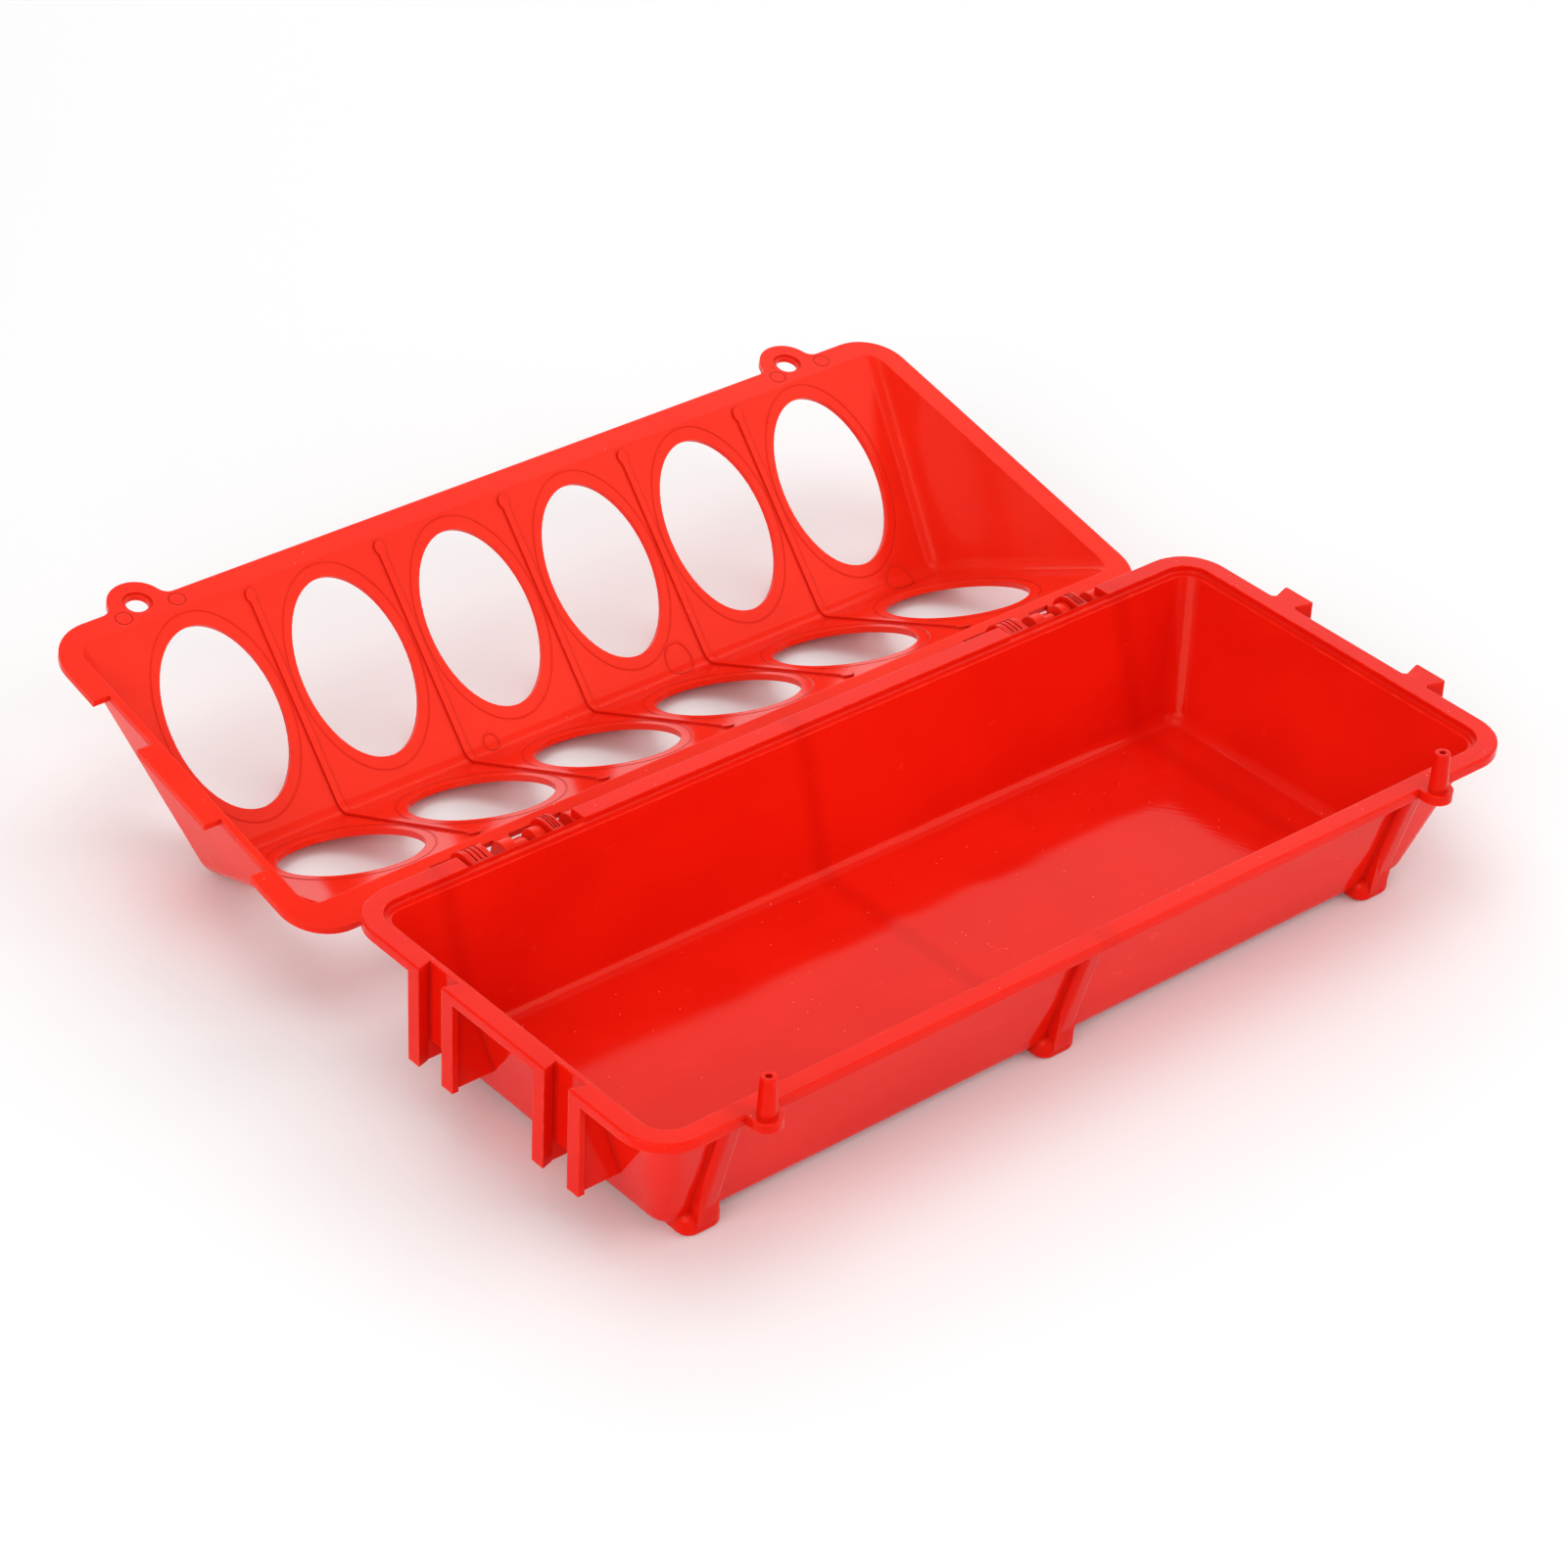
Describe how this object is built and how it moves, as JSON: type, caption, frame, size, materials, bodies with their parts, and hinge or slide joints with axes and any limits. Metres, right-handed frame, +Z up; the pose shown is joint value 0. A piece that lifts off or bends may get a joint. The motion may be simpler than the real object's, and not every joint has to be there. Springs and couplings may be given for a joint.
{
  "type": "flip-top trough feeder",
  "caption": "Flip-top trough feeder for chicks: open trough and hinged gable lid with oval feeding holes, peg closure and end couplings.",
  "frame": {"origin": "on the floor under the middle of the trough's rim, at the level of the feet", "axes": "+X along the trough from the coupling slots to the coupling tabs, +Y from the peg side to the hinge side, +Z up"},
  "size_m": [0.3116, 0.2884, 0.0577],
  "materials": {
    "trough": "glossy red, slightly translucent",
    "lid": "glossy red, slightly translucent"
  },
  "bodies": {
    "trough": {"trough": "trough"},
    "lid": {"lid": "lid"}
  },
  "joints": [
    {"name": "lid_hinge", "type": "hinge", "parent": "trough", "child": "lid", "pos_m": [0, 0.07015, 0.0356], "axis": [1, 0, 0], "range_deg": [0, 167.5]}
  ]
}
